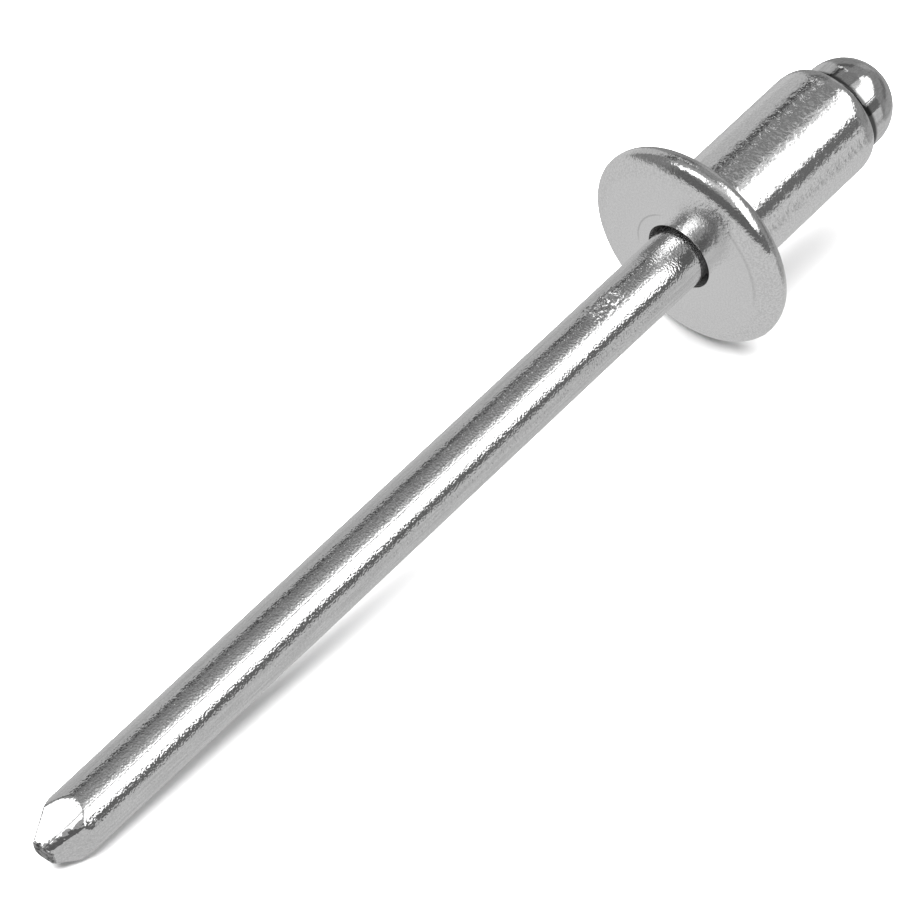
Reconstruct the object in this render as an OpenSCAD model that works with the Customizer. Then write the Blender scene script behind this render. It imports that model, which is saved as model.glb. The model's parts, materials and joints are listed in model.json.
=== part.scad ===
// Open-end blind rivet with a low domed flange, as it is before it is set.
// Two cold-formed pieces: the aluminium body and the steel mandrel that runs through it.
// The rivet lies on a flat surface at z = 0, on the rim of its flange and on its point, with
// its length along X: the blind end at +X and the point at -X. Sizes are in millimetres.

/* [Sleeve] */
// Outside diameter of the sleeve, the rivet's nominal size
sleeve_d = 4.0; // [3.4:0.05:5]
// Length of the sleeve under the flange
sleeve_l = 6.9; // [5:0.1:18]
// Gap between the mandrel and the bore, on the radius
bore_gap = 0.18; // [0.08:0.01:0.24]
// Length of the rounding at the blind end
end_round_l = 0.7; // [0.2:0.05:1.2]
// Depth of that rounding, on the radius
end_round_in = 0.24; // [0.1:0.01:0.3]
// Fillet where the sleeve runs into the flange
neck_r = 0.1; // [0.05:0.01:0.3]

/* [Flange] */
// Diameter of the flange
flange_d = 7.55; // [6.9:0.05:9.6]
// Height of the flange, from its seat to the flat middle of its face
flange_h = 1.2; // [1:0.05:1.8]
// Height of the widest part of the rim above the seat
rim_z = 0.555; // [0.4:0.005:0.7]
// Width of the band in which the face bends over to the rim
bend_w = 1.45; // [1:0.05:1.6]
// Width of the rounding from the rim down to the seat
edge_w = 0.5; // [0.2:0.05:0.6]
// Rounding of the edge of the hole, at both ends of the bore
hole_edge_r = 0.05; // [0.02:0.01:0.12]

/* [Mandrel] */
// Diameter of the wire
wire_d = 2.1; // [1.7:0.05:2.4]
// Length of the stem from the flange's hole to the middle of the blunt end of the point
stem_l = 31.05; // [25:0.05:45]
// How far the head stays inside the outline of the sleeve, on the radius
head_step = 0.38; // [0.2:0.01:0.55]
// Length of the straight side of the head, between the sleeve and the dome
head_side_l = 0.64; // [0.3:0.01:1.2]
// Rounding of the head's edge where it bears on the sleeve
head_edge_r = 0.12; // [0.04:0.01:0.25]
// How far the head was formed off the wire's axis
head_shift = 0.1; // [0:0.01:0.15]
// Direction of that shift round the axis, from the top
head_shift_turn = -122; // [-180:1:180]

/* [Break notch] */
// Diameter left at the bottom of the break notch
notch_d = 1.5; // [1.2:0.05:1.65]
// Distance from the underside of the head to the notch
notch_z = 1.6; // [1:0.1:3]
// Width of the notch at the surface of the wire
notch_w = 0.6; // [0.3:0.05:1]

/* [Grip marks] */
// Distance from the flange's hole to the first mark
grip_z = 3.31; // [1:0.01:6]
// Distance from one mark to the next
grip_pitch = 0.36; // [0.25:0.01:0.5]
// Number of marks in a row
grip_marks = 4; // [3:1:8]
// Depth of a mark under the surface of the wire
grip_depth = 0.08; // [0.03:0.01:0.12]
// Turn of the four rows round the axis, from the top
grip_turn = -1; // [-45:1:45]

/* [Point] */
// Width of the blunt square end, across its flats
point_w = 0.66; // [0.4:0.02:1]
// Slant of the blunt end, up to one of its corners
end_slant = 10; // [0:1:15]
// Angle between a facet of the point and the axis
point_angle = 24; // [16:1:34]
// Width of the land where the two cutting dies met
point_land_w = 0.3; // [0.1:0.01:0.4]
// Turn of the facets round the axis, from the top
point_turn = -7; // [-45:1:45]

/* [Hidden] */
$fn = 96;
// Straight steps in a quarter of a rounded edge, and in the dome of the head
edge_steps = 8;
dome_steps = 24;
sides = 4;

sleeve_r = sleeve_d / 2;
wire_r = wire_d / 2;
flange_r = flange_d / 2;
bore_r = wire_r + bore_gap;
head_r = sleeve_r - head_step;
seat_r = sleeve_r - end_round_in;

// The seating plane of the flange is z = 0 on the rivet's own axis, with the point at +z.
blind_z = -sleeve_l;
point_z = flange_h + stem_l;

// The face is flat round the hole, and bends over in a quarter of an ellipse to the widest part of the rim.
mouth_r = bore_r + hole_edge_r;
bend_cr = flange_r - bend_w;
bend_h = flange_h - rim_z;

// The facets start this far up the side of the wire, measured from the blunt end.
facet_reach = (wire_r - point_w / 2) / tan(point_angle);
// Slope and distance from the axis of the corner between two facets
corner_angle = atan(sqrt(2) * tan(point_angle));
corner_r = point_w / sqrt(2);
end_rise = corner_r * tan(end_slant);

// At rest the bend of the rim and the start of the lowest facet touch the surface, which sets the
// tilt. It is worked out with the lengths along the axis stretched until the bend is round.
facet_z = point_z - facet_reach;
rest_stretch = bend_w / bend_h;
rest_dr = bend_cr - wire_r;
rest_dz = (facet_z - rim_z) * rest_stretch;
rest_turn = atan(rest_dr / rest_dz) + asin(bend_w / sqrt(pow(rest_dr, 2) + pow(rest_dz, 2)));
rest_tilt = atan(tan(rest_turn) * rest_stretch);
rest_h = wire_r * cos(rest_tilt) + facet_z * sin(rest_tilt);
dome_cz = blind_z - head_side_l;
blind_x = head_r - dome_cz * cos(rest_tilt);
point_x = -(point_z + end_rise) * cos(rest_tilt);
middle_x = (blind_x + point_x) / 2;

// Points on a round stretch: centre, half-axes, and the angles that it runs between
function arc(c, a, b, from, to, steps) =
    [for (i = [0:steps]) let (t = from + (to - from) * i / steps) c + [a * cos(t), b * sin(t)]];

// Half section of the body, from the mouth of the bore out over the flange and down the sleeve
body_section = concat(
    arc([mouth_r, flange_h - hole_edge_r], hole_edge_r, hole_edge_r, 180, 90, edge_steps),
    arc([bend_cr, rim_z], bend_w, bend_h, 90, 0, 3 * edge_steps),
    arc([flange_r - edge_w, rim_z], edge_w, rim_z, -8, -90, 10),
    arc([sleeve_r + neck_r, -neck_r], neck_r, neck_r, 90, 180, edge_steps),
    arc([seat_r, blind_z + end_round_l], end_round_in, end_round_l, 0, -90, 2 * edge_steps),
    arc([mouth_r, blind_z + hole_edge_r], hole_edge_r, hole_edge_r, -90, -180, edge_steps)
);

module body_solid() {
    rotate_extrude() polygon(body_section);
}

// Half section of the wire, with the break notch just above the head
module wire_solid() {
    rotate_extrude() polygon([
        [0, blind_z - head_side_l],
        [wire_r, blind_z - head_side_l],
        [wire_r, blind_z + notch_z - notch_w / 2],
        [notch_d / 2, blind_z + notch_z],
        [wire_r, blind_z + notch_z + notch_w / 2],
        [wire_r, point_z + wire_r],
        [0, point_z + wire_r]
    ]);
}

// Domed head: it bears on the end of the sleeve, with a straight side and a round dome
module head_solid() {
    rotate_extrude() polygon(concat(
        [[0, blind_z]],
        arc([head_r - head_edge_r, blind_z - head_edge_r], head_edge_r, head_edge_r, 90, 0, edge_steps),
        arc([0, dome_cz], head_r, head_r, 0, -90, dome_steps)
    ));
}

// Everything outside a plane that leans away from the axis, at_r out at the blunt end
module point_cut(at_r, lean) {
    block = 4 * wire_d;
    translate([at_r, 0, point_z]) rotate([0, -lean, 0]) translate([0, -block / 2, -block])
        cube([block, block, 2 * block]);
}

// Four facets, and the narrow lands on the two opposite corners where the dies met
module point_cuts() {
    for (i = [0:sides - 1]) rotate([0, 0, point_turn + i * 360 / sides]) point_cut(point_w / 2, point_angle);
    for (turn = [-45, 135]) rotate([0, 0, point_turn + turn])
        point_cut(corner_r - point_land_w / 2, corner_angle);
}

// Everything beyond the blunt end, which slants up to the corner between two facets
module end_cut() {
    block = 4 * wire_d;
    translate([0, 0, point_z]) rotate([0, 0, point_turn + 45]) rotate([0, -end_slant, 0])
        translate([-block / 2, -block / 2, 0]) cube(block);
}

// Four rows of straight V marks that the heading die left in the wire
module grip_cuts() {
    side = sqrt(2) * grip_depth;
    for (i = [0:sides - 1], k = [0:grip_marks - 1])
        rotate([0, 0, grip_turn + i * 360 / sides])
            translate([wire_r, 0, flange_h + grip_z + k * grip_pitch])
                rotate([0, 45, 0]) cube([side, wire_d, side], center = true);
}

// Lays what is drawn on the rivet's own axis down on the surface
module lying() {
    translate([-middle_x, 0, rest_h]) rotate([0, -90 - rest_tilt, 0]) children();
}

module rivet_body() {
    color("silver") lying() body_solid();
}

module mandrel() {
    color("gainsboro") lying() difference() {
        union() {
            wire_solid();
            translate(head_shift * [cos(head_shift_turn), sin(head_shift_turn), 0]) head_solid();
        }
        point_cuts();
        end_cut();
        grip_cuts();
    }
}

rivet_body();
mandrel();
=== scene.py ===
"""An unset blind rivet, lying on a pale floor in soft studio light.

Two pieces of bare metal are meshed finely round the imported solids, from the same sizes: the
aluminium body with its low domed flange, and the steel mandrel with its head, grip marks and
four-facet point. Sizes are in millimetres on the rivet's own axis, and are turned into metres in
the part's frame when a mesh is made.
"""

import json
import math

import bpy
import numpy as np
from mathutils import Euler, Matrix, Vector


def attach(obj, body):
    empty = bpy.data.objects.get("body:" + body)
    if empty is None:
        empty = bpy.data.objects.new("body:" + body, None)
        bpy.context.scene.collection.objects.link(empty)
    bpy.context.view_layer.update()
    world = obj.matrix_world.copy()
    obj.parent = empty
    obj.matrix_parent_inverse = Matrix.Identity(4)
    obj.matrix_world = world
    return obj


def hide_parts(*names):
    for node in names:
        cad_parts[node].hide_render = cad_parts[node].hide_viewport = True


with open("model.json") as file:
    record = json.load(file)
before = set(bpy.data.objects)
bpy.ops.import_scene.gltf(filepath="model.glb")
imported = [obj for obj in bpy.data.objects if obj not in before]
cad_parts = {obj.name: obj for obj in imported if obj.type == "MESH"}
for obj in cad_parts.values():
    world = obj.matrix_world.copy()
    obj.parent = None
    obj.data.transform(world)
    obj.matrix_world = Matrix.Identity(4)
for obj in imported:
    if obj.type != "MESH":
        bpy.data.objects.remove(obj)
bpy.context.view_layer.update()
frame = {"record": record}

MM = 0.001

# Body, in millimetres: z = 0 is the flange's seat, and +z runs towards the mandrel's point
SLEEVE_R = 2.0
SLEEVE_L = 6.9
BORE_GAP = 0.18
END_ROUND_L = 0.7
END_ROUND_IN = 0.24
NECK_R = 0.1
FLANGE_R = 3.775
FLANGE_H = 1.2
RIM_Z = 0.555
BEND_W = 1.45
EDGE_W = 0.5
HOLE_EDGE_R = 0.05

# Mandrel
WIRE_R = 1.05
STEM_L = 31.05
HEAD_R = 1.62
HEAD_SIDE_L = 0.64
HEAD_EDGE_R = 0.28
HEAD_SHIFT = 0.1
HEAD_SHIFT_TURN = -122
NOTCH_R = 0.75
NOTCH_Z = 1.6
NOTCH_W = 0.6

# Marks of the heading die's grip
GRIP_Z = 3.31
GRIP_PITCH = 0.36
GRIP_MARKS = 4
GRIP_DEPTH = 0.08
GRIP_TURN = -1

# Pinched point
POINT_W = 0.66
END_SLANT = 10
POINT_ANGLE = 24
POINT_LAND_W = 0.3
POINT_TURN = -7
EDGE_SOFTNESS = 0.012
SIDES = 4

BLIND_Z = -SLEEVE_L
POINT_Z = FLANGE_H + STEM_L
BORE_R = WIRE_R + BORE_GAP
MOUTH_R = BORE_R + HOLE_EDGE_R

# Fineness of the meshes: steps round the axis, and step along the wire at the grip marks
BODY_TURN_STEPS = 288
WIRE_TURN_STEPS = 288
GRIP_STEP = 0.022
PLAIN_WIRE_STEPS = 56
FACET_STEPS = 72
TIP_STEPS = 44
RAY_HALVINGS = 40

# Top row of grip marks: how far its grooves bend aside, and how much shallower they get
GROOVE_BEND = 0.05
GROOVE_WEAR = 0.03

# Rounding of the point's two lands: directions of the planes that make it, round the axis
LAND_CORNERS = (-45, 135)
LAND_OFFSETS = (-33.75, -22.5, -11.25, 0, 11.25, 22.5, 33.75)

# Where the look of the aluminium changes, along the axis or on the radius
FACE_Z = (0.95, 1.1)
FACE_R = (2.9, 3.35)
FACE_POLISH_R = (1.8, 2.5)
SLEEVE_Z = (-0.25, 0.0)
BORE_WALL_R = (1.25, 1.29)
BORE_WALL_Z = (1.12, 1.16)
# Faint rings on the face: radius, width, middle of the arc in degrees, half its length
INNER_RING = (1.66, 0.05, 60, 32)
OUTER_RING = (3.05, 0.1, -67, 26)
RING_END = 12

# Where the look of the steel changes
SCRATCH_TURN = -28.5
SCRATCH_W = 0.03
SCRATCH_Z = (5.0, 12.0)
GRIPPED_HALF_L = (0.6, 0.95)
GRIPPED_HALF_W = (0.24, 0.42)
TORN_ROW_R = (0.5, 0.9)
PINCHED_Z = (POINT_Z - 1.9, POINT_Z - 1.3)
PINCHED_HALF_W = (0.14, 0.3)
TORN_END_Z = (0.03, 0.07)
SMOOTH_HEAD_Z = (BLIND_Z - 0.1, BLIND_Z + 0.1)
SMOOTH_POINT_Z = (POINT_Z - 1.8, POINT_Z - 1.2)

# Painted shade where the head bears on the sleeve: the head's lower edge, the wire above it and the
# sleeve's end darkened along the axis
SEAM_SHADE_HEAD_Z = (BLIND_Z - 0.37, BLIND_Z - 0.23)
SEAM_SHADE_WIRE_Z = (BLIND_Z + 1.0, BLIND_Z + 2.0)
SEAM_SHADE_SLEEVE_Z = (BLIND_Z, BLIND_Z + 0.08)


def rivet_axes():
    """Seat's centre and the rivet's own axes in the part's frame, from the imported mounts."""
    mounts = {m["name"]: m for m in frame["record"]["mounts"]}
    along = -Vector(mounts["sleeve"]["axis"]).normalized()
    on_axis = Vector(mounts["sleeve"]["pos_m"])
    seat = on_axis + along * (Vector(mounts["seat"]["pos_m"]) - on_axis).dot(along)
    side = Vector((0, 1, 0))
    up = side.cross(along)
    return seat, up, side, along


SEAT, UP, SIDE, ALONG = rivet_axes()


def to_frame(points):
    """Points on the rivet's own axes, in millimetres, as points of the part's frame in metres."""
    basis = np.array([UP, SIDE, ALONG])
    return np.array(SEAT) + (np.asarray(points) @ basis) * MM


def arc(cx, cz, a, b, start, end, steps):
    """Points (radius, height) on a round stretch with half-axes a and b, between two angles."""
    t = np.radians(np.linspace(start, end, steps + 1))
    return np.column_stack([cx + a * np.cos(t), cz + b * np.sin(t)])


def stretch(start, end, steps):
    """Points (radius, height) on a straight stretch, without its two ends."""
    t = np.linspace(0, 1, steps + 1)[1:-1, None]
    return np.array(start) * (1 - t) + np.array(end) * t


def ring_points(radius, height, turn_steps, centre=(0.0, 0.0)):
    """Rings of points from a radius for each ring and step round the axis."""
    turn = np.linspace(0, 2 * math.pi, turn_steps, endpoint=False)
    radius = np.broadcast_to(np.asarray(radius, float), (len(height), turn_steps))
    height = np.broadcast_to(np.asarray(height, float).reshape(len(height), -1), radius.shape)
    shift = np.broadcast_to(np.asarray(centre, float), (len(height), 2))
    x = radius * np.cos(turn) + shift[:, :1]
    y = radius * np.sin(turn) + shift[:, 1:]
    return np.stack([x, y, height], axis=2)


def skin(name, rings, closed=False, poles=None):
    """Mesh object over rings of points, closed into a torus or capped by a fan at each end."""
    count, turn_steps = rings.shape[:2]
    points = rings.reshape(-1, 3)
    last = count if closed else count - 1
    i = np.arange(last)[:, None] * turn_steps
    j = (np.arange(last)[:, None] + 1) % count * turn_steps
    k = np.arange(turn_steps)[None, :]
    k_next = (k + 1) % turn_steps
    quads = np.stack([i + k, i + k_next, j + k_next, j + k], axis=2).reshape(-1, 4)
    faces = quads.tolist()
    if poles is not None:
        points = np.vstack([points, np.array(poles)])
        first, end = len(points) - 2, len(points) - 1
        top = (count - 1) * turn_steps
        faces += [(first, (n + 1) % turn_steps, n) for n in range(turn_steps)]
        faces += [(end, top + n, top + (n + 1) % turn_steps) for n in range(turn_steps)]
    mesh = bpy.data.meshes.new(name)
    mesh.from_pydata(to_frame(points).tolist(), [], faces)
    mesh.validate()
    mesh.shade_smooth()
    piece = bpy.data.objects.new(name, mesh)
    bpy.context.scene.collection.objects.link(piece)
    return piece


def body_section():
    """Half section of the body, from the mouth of the bore over the flange and back up the bore."""
    bend_start = (FLANGE_R - BEND_W, FLANGE_H)
    seat_edge = (FLANGE_R - EDGE_W, 0)
    seat_r = SLEEVE_R - END_ROUND_IN
    neck_end = (SLEEVE_R, -NECK_R)
    end_start = (SLEEVE_R, BLIND_Z + END_ROUND_L)
    bore_low = (BORE_R, BLIND_Z + HOLE_EDGE_R)
    bore_high = (BORE_R, FLANGE_H - HOLE_EDGE_R)
    return np.vstack([
        arc(MOUTH_R, FLANGE_H - HOLE_EDGE_R, HOLE_EDGE_R, HOLE_EDGE_R, 180, 90, 6),
        stretch((MOUTH_R, FLANGE_H), bend_start, 8),
        arc(FLANGE_R - BEND_W, RIM_Z, BEND_W, FLANGE_H - RIM_Z, 90, 0, 64),
        arc(FLANGE_R - EDGE_W, RIM_Z, EDGE_W, RIM_Z, 0, -90, 24)[1:],
        stretch(seat_edge, (SLEEVE_R + NECK_R, 0), 6),
        arc(SLEEVE_R + NECK_R, -NECK_R, NECK_R, NECK_R, 90, 180, 8),
        stretch(neck_end, end_start, 12),
        arc(seat_r, BLIND_Z + END_ROUND_L, END_ROUND_IN, END_ROUND_L, 0, -90, 28),
        arc(MOUTH_R, BLIND_Z + HOLE_EDGE_R, HOLE_EDGE_R, HOLE_EDGE_R, -90, -180, 6),
        stretch(bore_low, bore_high, 10),
    ])


def build_body():
    section = body_section()
    rings = ring_points(section[:, :1], section[:, 1], BODY_TURN_STEPS)
    return skin("body_metal", rings[::-1], closed=True)


def head_rings():
    """Dome, side and bearing edge of the head, formed a little off the wire's axis."""
    turn = math.radians(HEAD_SHIFT_TURN)
    shift = HEAD_SHIFT * np.array([math.cos(turn), math.sin(turn)])
    dome_cz = BLIND_Z - HEAD_SIDE_L
    section = np.vstack([
        arc(0, dome_cz, HEAD_R, HEAD_R, -89, 0, 48),
        stretch((HEAD_R, dome_cz), (HEAD_R, BLIND_Z - HEAD_EDGE_R), 5),
        arc(HEAD_R - HEAD_EDGE_R, BLIND_Z - HEAD_EDGE_R, HEAD_EDGE_R, HEAD_EDGE_R, 0, 90, 8),
    ])
    rings = ring_points(section[:, :1], section[:, 1], WIRE_TURN_STEPS, shift)
    inward = np.linspace(0, 1, 5)[1:]
    under = ring_points(
        ((HEAD_R - HEAD_EDGE_R) * (1 - inward) + WIRE_R * inward)[:, None],
        np.full(len(inward), BLIND_Z), WIRE_TURN_STEPS, shift * (1 - inward)[:, None])
    pole = (shift[0], shift[1], dome_cz - HEAD_R)
    return np.vstack([rings, under]), pole


def grip_radius(turn, height):
    """Radius of the wire under the V marks of the heading die, uneven in the top row."""
    radius = np.full(np.broadcast(turn, height).shape, WIRE_R)
    rows = np.radians(GRIP_TURN) + np.arange(SIDES) * 2 * math.pi / SIDES
    for i, row in enumerate(rows):
        away = (turn - row + math.pi) % (2 * math.pi) - math.pi
        facing = np.maximum(np.cos(away), 0.2)
        uneven = 1 if i == 0 else 0
        for k in range(GRIP_MARKS):
            bend = uneven * GROOVE_BEND * np.sin(6 * away + 2.1 * k)
            worn = uneven * GROOVE_WEAR * (1 + np.sin(8 * away + 2.7 * k)) / 2
            middle = FLANGE_H + GRIP_Z + k * GRIP_PITCH + bend
            groove = (WIRE_R - GRIP_DEPTH + worn + np.abs(height - middle)) / facing
            radius = np.minimum(radius, groove)
    return radius


def point_inside(points):
    """Signed distance outside the pinched point, its edges softened and its lands rounded."""
    x, y, z = points[..., 0], points[..., 1], points[..., 2]
    lean = math.radians(POINT_ANGLE)
    corner_lean = math.atan(math.sqrt(2) * math.tan(lean))
    end_turn, slant = math.radians(POINT_TURN + 45), math.radians(END_SLANT)
    rise = (x * math.cos(end_turn) + y * math.sin(end_turn)) * math.sin(slant)
    planes = [np.hypot(x, y) - WIRE_R, (z - POINT_Z) * math.cos(slant) - rise]
    for i in range(SIDES):
        turn = math.radians(POINT_TURN + i * 360 / SIDES)
        out = x * math.cos(turn) + y * math.sin(turn) - POINT_W / 2
        planes.append(out * math.cos(lean) + (z - POINT_Z) * math.sin(lean))
    land = POINT_W / math.sqrt(2) - POINT_LAND_W / 2
    round_r = POINT_LAND_W / 2 / math.tan(math.radians(22.5))
    for corner in LAND_CORNERS:
        for off in LAND_OFFSETS:
            turn = math.radians(POINT_TURN + corner + off)
            fall = math.cos(math.radians(off))
            lean = math.atan(math.tan(corner_lean) * fall)
            out = x * math.cos(turn) + y * math.sin(turn) - (land - round_r) * fall - round_r
            planes.append(out * math.cos(lean) + (z - POINT_Z) * math.sin(lean))
    stack = np.stack(planes) / EDGE_SOFTNESS
    top = stack.max(axis=0)
    return (top + np.log(np.exp(stack - top).sum(axis=0))) * EDGE_SOFTNESS


def point_rings():
    """Rings over the pinched point, found along rays from a centre inside it."""
    lean = math.radians(POINT_ANGLE)
    centre_z = POINT_Z - (WIRE_R - POINT_W / 2) / math.tan(lean) - 0.1
    reach = POINT_Z - centre_z
    corner = math.atan2(POINT_W / 2, reach)
    polar = np.concatenate([
        np.linspace(math.pi / 2, 1.6 * corner, FACET_STEPS, endpoint=False),
        np.linspace(1.6 * corner, 0.03 * corner, TIP_STEPS),
    ])
    turn = np.linspace(0, 2 * math.pi, WIRE_TURN_STEPS, endpoint=False)
    ray = np.stack([
        np.sin(polar)[:, None] * np.cos(turn),
        np.sin(polar)[:, None] * np.sin(turn),
        np.cos(polar)[:, None] * np.ones_like(turn),
    ], axis=2)
    near = np.zeros(ray.shape[:2])
    far = np.full(ray.shape[:2], 1.2 * reach + WIRE_R)
    start = np.array([0, 0, centre_z])
    for _ in range(RAY_HALVINGS):
        middle = (near + far) / 2
        outside = point_inside(start + ray * middle[..., None]) > 0
        far = np.where(outside, middle, far)
        near = np.where(outside, near, middle)
    return start + ray * near[..., None], (0, 0, POINT_Z - EDGE_SOFTNESS * 0.1), centre_z


def wire_rings(top_z):
    """The wire from the head to the start of the point, with the break notch and the grip marks."""
    notch = BLIND_Z + NOTCH_Z
    grip_low = FLANGE_H + GRIP_Z - GRIP_PITCH
    grip_high = FLANGE_H + GRIP_Z + GRIP_MARKS * GRIP_PITCH
    hidden = [BLIND_Z + 0.05, notch - NOTCH_W / 2, notch, notch + NOTCH_W / 2, 0.0, FLANGE_H, 3.0]
    grip = np.arange(grip_low, grip_high, GRIP_STEP)
    plain = np.linspace(grip_high + 0.05, top_z, PLAIN_WIRE_STEPS, endpoint=False)
    height = np.concatenate([hidden, grip, plain])
    turn = np.linspace(0, 2 * math.pi, WIRE_TURN_STEPS, endpoint=False)
    radius = grip_radius(turn[None, :], height[:, None])
    radius[np.isclose(height, notch)] = NOTCH_R
    return ring_points(radius, height, WIRE_TURN_STEPS)


def build_mandrel():
    head, head_pole = head_rings()
    point, point_pole, top_z = point_rings()
    rings = np.concatenate([head, wire_rings(top_z), point])
    return skin("mandrel_metal", rings, poles=[head_pole, point_pole])


class Nodes:
    """Short calls for building a node tree from numbers and sockets."""

    def __init__(self, tree):
        self.tree = tree

    def add(self, kind, inputs=(), **settings):
        node = self.tree.nodes.new(kind)
        for key, value in settings.items():
            setattr(node, key, value)
        for key, value in dict(inputs).items():
            if isinstance(value, bpy.types.NodeSocket):
                self.tree.links.new(value, node.inputs[key])
            else:
                node.inputs[key].default_value = value
        return node

    def math(self, operation, *values):
        return self.add("ShaderNodeMath", dict(enumerate(values)), operation=operation).outputs[0]

    def times(self, first, second):
        return self.math("MULTIPLY", first, second)

    def absolute(self, value):
        return self.math("ABSOLUTE", value)

    def ramp(self, value, low, high, start=0.0, end=1.0):
        """Smooth step of a value between two limits."""
        inputs = {"Value": value, "From Min": low, "From Max": high, "To Min": start, "To Max": end}
        return self.add("ShaderNodeMapRange", inputs, interpolation_type="SMOOTHSTEP").outputs[0]

    def fade(self, value, low, high):
        """One up to the lower limit, and smoothly down to nothing at the upper."""
        return self.ramp(value, low, high, 1.0, 0.0)

    def mix(self, factor, first, second):
        inputs = {0: factor, 2: first, 3: second}
        return self.add("ShaderNodeMix", inputs, data_type="FLOAT").outputs[0]

    def noise(self, place, scale, detail=2.0, roughness=0.5):
        inputs = {"Vector": place, "Scale": scale, "Detail": detail, "Roughness": roughness}
        return self.add("ShaderNodeTexNoise", inputs).outputs[0]

    def vector(self, operation, inputs):
        return self.add("ShaderNodeVectorMath", inputs, operation=operation).outputs[0]

    def grey(self, level):
        return self.add("ShaderNodeCombineColor", {0: level, 1: level, 2: level}).outputs[0]

    def link(self, value, socket):
        self.tree.links.new(value, socket)


def rivet_place(nodes):
    """Place on the rivet's own axes, in millimetres from the middle of the flange's seat."""
    place = nodes.add("ShaderNodeTexCoord").outputs["Object"]
    moved = nodes.vector("SUBTRACT", {0: place, 1: tuple(SEAT)})
    turn = {"Vector": moved, "Rotation": tuple(Matrix((UP, SIDE, ALONG)).to_euler())}
    straight = nodes.add("ShaderNodeVectorRotate", turn, rotation_type="EULER_XYZ").outputs[0]
    return nodes.vector("SCALE", {0: straight, "Scale": 1000.0})


def metal(name, grey, roughness):
    """Bare metal with plain values, which the finer ones are linked over."""
    material = bpy.data.materials.new(name)
    material.use_nodes = True
    shader = material.node_tree.nodes["Principled BSDF"]
    shader.inputs["Base Color"].default_value = (grey, grey, grey, 1)
    shader.inputs["Metallic"].default_value = 1
    shader.inputs["Roughness"].default_value = roughness
    return material, Nodes(material.node_tree), shader


def across(nodes, place):
    """Distance from the rivet's axis, place along it, and the place's own three parts."""
    parts = nodes.add("ShaderNodeSeparateXYZ", {0: place}).outputs
    squares = [nodes.math("POWER", part, 2.0) for part in parts[:2]]
    return nodes.math("SQRT", nodes.math("ADD", *squares)), parts[2], parts


def relief(nodes, shader, heights):
    """Bump from heights in millimetres, each laid over the one before."""
    normal = None
    for height in heights:
        inputs = {"Height": height, "Strength": 1.0, "Distance": MM}
        if normal is not None:
            inputs["Normal"] = normal
        normal = nodes.add("ShaderNodeBump", inputs).outputs[0]
    nodes.link(normal, shader.inputs["Normal"])


def turned(nodes, parts, angle):
    """Places across the axis after a turn round it: towards the angle, and a quarter turn on."""
    cos, sin = math.cos(math.radians(angle)), math.sin(math.radians(angle))
    toward = nodes.math("MULTIPLY_ADD", parts[0], cos, nodes.times(parts[1], sin))
    beside = nodes.math("MULTIPLY_ADD", parts[1], cos, nodes.times(parts[0], -sin))
    return toward, beside


def ring_mark(nodes, parts, radius, middle, width, angle, half):
    """One over part of a thin ring round the axis, and nothing elsewhere."""
    away = nodes.absolute(nodes.math("SUBTRACT", radius, middle))
    facing = nodes.math("DIVIDE", turned(nodes, parts, angle)[0], radius)
    ends = [math.cos(math.radians(half + side * RING_END)) for side in (1, -1)]
    return nodes.times(nodes.fade(away, 0.0, width), nodes.ramp(facing, *ends))


def aluminium():
    """Bright soft aluminium: orange peel on the sleeve and rim, a finer and duller face."""
    material, nodes, shader = metal("aluminium", 0.92, 0.1)
    place = rivet_place(nodes)
    radius, along, parts = across(nodes, place)
    face = nodes.times(nodes.ramp(along, *FACE_Z), nodes.fade(radius, *FACE_R))
    sleeve = nodes.fade(along, *SLEEVE_Z)
    bore = nodes.times(nodes.fade(radius, *BORE_WALL_R), nodes.fade(along, *BORE_WALL_Z))

    peel = nodes.times(nodes.noise(place, 13.0, 2.0, 0.6), nodes.mix(sleeve, 0.007, 0.006))
    blister = nodes.times(nodes.noise(place, 5.0, 1.0), nodes.mix(sleeve, 0.01, 0.013))
    inner = ring_mark(nodes, parts, radius, *INNER_RING)
    outer = ring_mark(nodes, parts, radius, *OUTER_RING)
    marks = nodes.times(nodes.math("MULTIPLY_ADD", outer, 0.8, inner), face)
    relief(nodes, shader, [blister, nodes.math("MULTIPLY_ADD", marks, -0.004, peel)])

    darkest = nodes.mix(face, 0.84, 0.93)
    speck = nodes.ramp(nodes.noise(place, 15.0, 1.0, 0.7), 0.3, 0.7, darkest, 1.0)
    tone = nodes.math("MULTIPLY_ADD", marks, -0.25, speck)
    # Painted shade: the sleeve's end darkened where the head bears on it
    tone = nodes.mix(nodes.fade(along, *SEAM_SHADE_SLEEVE_Z), tone, 0.2)
    nodes.link(nodes.grey(tone), shader.inputs["Base Color"])

    rough = nodes.mix(face, 0.05, nodes.ramp(radius, *FACE_POLISH_R, 0.06, 0.2))
    nodes.link(nodes.mix(bore, rough, 0.6), shader.inputs["Roughness"])
    return material


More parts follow.
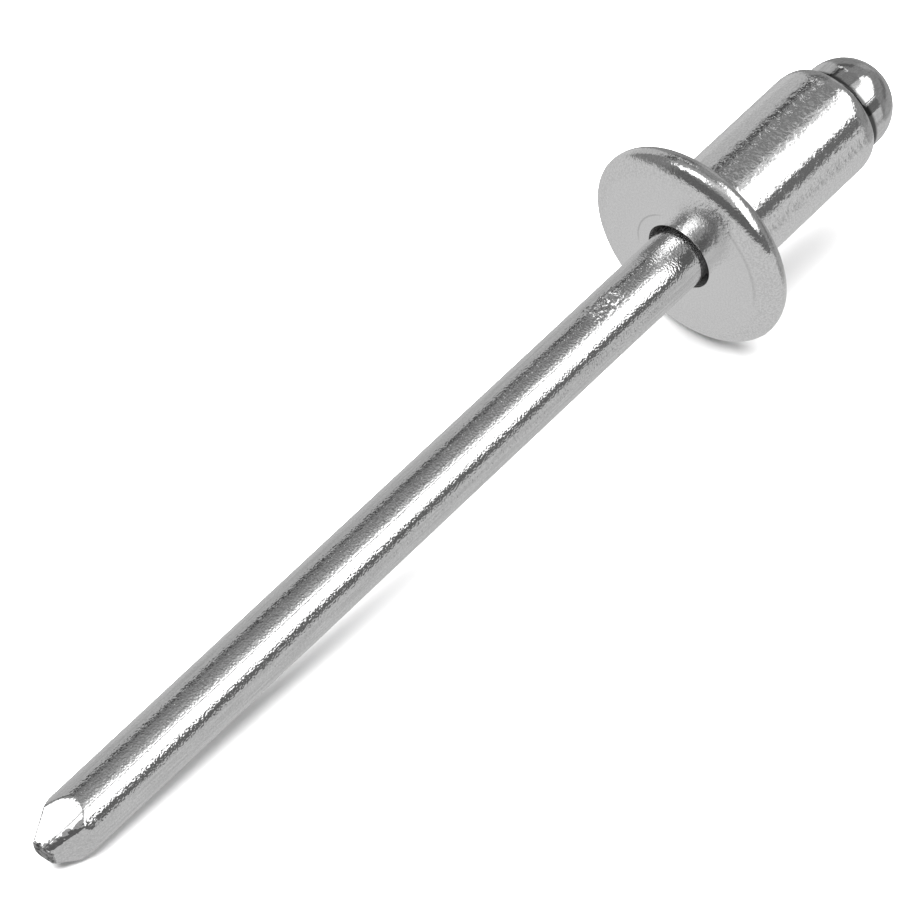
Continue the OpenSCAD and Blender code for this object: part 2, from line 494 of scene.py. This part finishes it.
def steel():
    """Bright plated wire with fine lines along it, ragged at the top grip marks and the point."""
    material, nodes, shader = metal("steel", 0.82, 0.08)
    place = rivet_place(nodes)
    _, along, parts = across(nodes, place)
    drawn = nodes.vector("MULTIPLY", {0: place, 1: (14.0, 14.0, 0.5)})
    drawn = nodes.noise(drawn, 1.0, 2.0, 0.6)
    scratch = nodes.absolute(turned(nodes, parts, SCRATCH_TURN)[1])
    scratch = nodes.times(nodes.fade(scratch, 0.0, SCRATCH_W), nodes.ramp(along, *SCRATCH_Z))

    # Ragged metal: on the top row of grip marks, on the two lands and at the blunt end
    grip_middle = FLANGE_H + GRIP_Z + (GRIP_MARKS - 1) / 2 * GRIP_PITCH
    off_middle = nodes.absolute(nodes.math("SUBTRACT", along, grip_middle))
    toward_row, beside_row = turned(nodes, parts, GRIP_TURN)
    off_row = nodes.math("MINIMUM", nodes.absolute(toward_row), nodes.absolute(beside_row))
    gripped = nodes.times(nodes.fade(off_middle, *GRIPPED_HALF_L),
                          nodes.fade(off_row, *GRIPPED_HALF_W))
    torn_row = nodes.ramp(toward_row, *TORN_ROW_R, 0.0, 0.13)
    off_land = nodes.absolute(turned(nodes, parts, POINT_TURN - 45)[1])
    pinched = nodes.times(nodes.ramp(along, *PINCHED_Z), nodes.fade(off_land, *PINCHED_HALF_W))
    rise = turned(nodes, parts, POINT_TURN + 45)[0]
    slope = math.tan(math.radians(END_SLANT))
    below = nodes.math("MULTIPLY_ADD", rise, -slope, nodes.math("SUBTRACT", along, POINT_Z))
    ragged = nodes.math("MULTIPLY_ADD", nodes.noise(place, 6.0, 2.0), 0.24, below)
    torn = nodes.ramp(ragged, *TORN_END_Z)
    dented = nodes.math("MULTIPLY_ADD", gripped, torn_row, nodes.times(pinched, 0.05))
    dented = nodes.math("MULTIPLY_ADD", torn, 0.12, dented)
    dents = nodes.times(nodes.math("SUBTRACT", nodes.noise(place, 4.5, 1.0), 0.5), dented)

    plain = nodes.times(nodes.ramp(along, *SMOOTH_HEAD_Z), nodes.fade(along, *SMOOTH_POINT_Z))
    grain = nodes.times(nodes.noise(place, 15.0, 0.5, 0.5), nodes.mix(plain, 0.002, 0.011))
    lines = nodes.math("MULTIPLY_ADD", drawn, 0.003, nodes.times(scratch, -0.003))
    relief(nodes, shader, [nodes.math("ADD", lines, dents), grain])

    speck = nodes.ramp(nodes.noise(place, 17.0, 1.0, 0.7), 0.3, 0.7, 0.92, 1.06)
    tone = nodes.times(nodes.ramp(drawn, 0.3, 0.7, 0.76, 0.88), speck)
    streaks = nodes.ramp(nodes.noise(place, 7.0, 2.0), 0.38, 0.62, 0.1, 0.5)
    # Painted shade: the head's lower edge darkened where it bears on the sleeve
    seam_shade = nodes.times(nodes.ramp(along, *SEAM_SHADE_HEAD_Z), nodes.fade(along, *SEAM_SHADE_WIRE_Z))
    tone = nodes.mix(seam_shade, nodes.mix(torn, tone, streaks), 0.12)
    nodes.link(nodes.grey(tone), shader.inputs["Base Color"])
    nodes.link(nodes.mix(torn, 0.07, 0.3), shader.inputs["Roughness"])
    return material


# Panels of the studio, each laid over the ones before it, in degrees: azimuth of the middle, half
# width, lower and upper edge, softness sideways and upwards, rise of the lower and the upper edge
# per degree of azimuth, and last the brightness
PANELS = [
    (0, 179, 68, 91, 4, 10, -0.18, 0, 0.32),
    (76, 40, 37, 60, 14, 4, 0.07, -0.11, 0.24),
    (74, 46, 0, 36, 10, 3, 0, 0.07, 0.46),
    (-146, 44, 41, 70, 12, 8, 0, 0, 0.4),
    (150, 57, 0, 44, 8, 4, 0, 0.07, 0.2),
    (-153, 63, 0, 39, 8, 4, 0.06, 0.19, 0.12),
    (19, 34, 23, 64, 12, 10, 0.25, -0.07, 0.2),
    (0, 48, -28, 50, 6, 10, 0, 0, 0.25),
    (-2, 36, -34, -12, 8, 8, 0, 0, 0.34),
    (-15, 15, -9, 1, 6, 4, 0, 0, 0.17),
    (16, 6, -6, 18, 4, 6, 0, 0, 0.36),
    (36, 12, 20, 33, 4, 4, 0, 0, 0.12),
    (-75, 28, 1, 24, 6, 3, 0, -0.08, 0.14),
    (-74, 32, 27, 60, 4, 3, -0.14, 0.2, 1.8),
    (156, 21, 42, 75, 4, 3, 0.46, 0.08, 1.8),
    (-27, 20, 27, 53, 6, 6, 0, -0.15, 1.7),
    (39, 7, 36, 44, 4, 4, -0.9, -0.9, 1.3),
    (64, 30, 38.2, 46, 14, 3, 0.07, 0.07, 0.05),
]
SKY = 0.6
GROUND = 0.54
HORIZON = (-2.0, 2.0)
DEGREES = 180 / math.pi


def studio_world():
    """Soft studio round the rivet: pale ground, dim room, large soft lights and a ceiling."""
    world = bpy.data.worlds.new("studio")
    bpy.context.scene.world = world
    world.use_nodes = True
    nodes = Nodes(world.node_tree)
    way = nodes.add("ShaderNodeTexCoord").outputs["Generated"]
    parts = nodes.add("ShaderNodeSeparateXYZ", {0: way}).outputs
    azimuth = nodes.times(nodes.math("ARCTAN2", parts[1], parts[0]), DEGREES)
    height = nodes.times(nodes.math("ARCSINE", parts[2]), DEGREES)
    light = nodes.mix(nodes.ramp(height, *HORIZON), GROUND, SKY)
    for middle, half, low, high, soft_side, soft_up, low_rise, high_rise, level in PANELS:
        away = nodes.math("WRAP", nodes.math("SUBTRACT", azimuth, float(middle)), 180.0, -180.0)
        within = nodes.fade(nodes.absolute(away), half - soft_side / 2, half + soft_side / 2)
        over_low = nodes.math("MULTIPLY_ADD", away, -low_rise, height)
        over_high = nodes.math("MULTIPLY_ADD", away, -high_rise, height)
        above = nodes.ramp(over_low, low - soft_up / 2, low + soft_up / 2)
        below = nodes.fade(over_high, high - soft_up / 2, high + soft_up / 2)
        cover = nodes.times(within, nodes.times(above, below))
        light = nodes.mix(cover, light, level)
    background = world.node_tree.nodes["Background"]
    nodes.link(light, background.inputs["Strength"])
    background.inputs["Color"].default_value = (1, 1, 1, 1)


# Camera, fitted to the photograph: its lens in millimetres, its turn in degrees, and the middle of
# the flange's hole as the camera sees it, in millimetres
LENS = 269.3
VIEW_TURN = (46.69, 0, -50.49)
HOLE_IN_VIEW = (7.002, 6.639, -223.8)


def place_camera():
    """The photograph's view: its direction, and where the flange's hole lies in the picture."""
    data = bpy.data.cameras.new("camera")
    data.lens = LENS
    data.sensor_width = 36
    data.clip_start = 0.01
    data.clip_end = 10
    hole = SEAT + ALONG * FLANGE_H * MM
    turn = Euler([math.radians(angle) for angle in VIEW_TURN])
    camera = bpy.data.objects.new("camera", data)
    camera.rotation_euler = turn
    camera.location = hole - turn.to_matrix() @ (Vector(HOLE_IN_VIEW) * MM)
    bpy.context.scene.collection.objects.link(camera)
    bpy.context.scene.camera = camera


def build_floor():
    """Pale floor, which the metal doesn't mirror: its reflections come from the studio alone."""
    mesh = bpy.data.meshes.new("floor")
    half = 1.5
    corners = [(-half, -half, 0), (half, -half, 0), (half, half, 0), (-half, half, 0)]
    mesh.from_pydata(corners, [], [(0, 1, 2, 3)])
    floor = bpy.data.objects.new("floor", mesh)
    bpy.context.scene.collection.objects.link(floor)
    material = bpy.data.materials.new("floor")
    material.use_nodes = True
    shader = material.node_tree.nodes["Principled BSDF"]
    shader.inputs["Base Color"].default_value = (0.9, 0.9, 0.9, 1)
    shader.inputs["Roughness"].default_value = 0.9
    mesh.materials.append(material)
    floor.visible_glossy = False


def place_lights():
    """Large soft light on the floor; the metal's own reflections come from the studio round it."""
    data = bpy.data.lights.new("overhead", "AREA")
    data.shape = "DISK"
    data.size = 1.2
    data.energy = 36.0
    light = bpy.data.objects.new("overhead", data)
    light.location = (-0.1, 0.15, 0.8)
    light.rotation_euler = (-light.location).to_track_quat("-Z", "Y").to_euler()
    light.visible_glossy = False
    bpy.context.scene.collection.objects.link(light)


body = build_body()
mandrel = build_mandrel()
body.data.materials.append(aluminium())
mandrel.data.materials.append(steel())
for piece, cad_node, slot in ((body, "rivet_body", "body"), (mandrel, "mandrel", "mandrel")):
    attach(piece, "root")
    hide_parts(cad_node)

place_camera()
build_floor()
place_lights()
studio_world()
bpy.context.scene.view_settings.view_transform = "Standard"
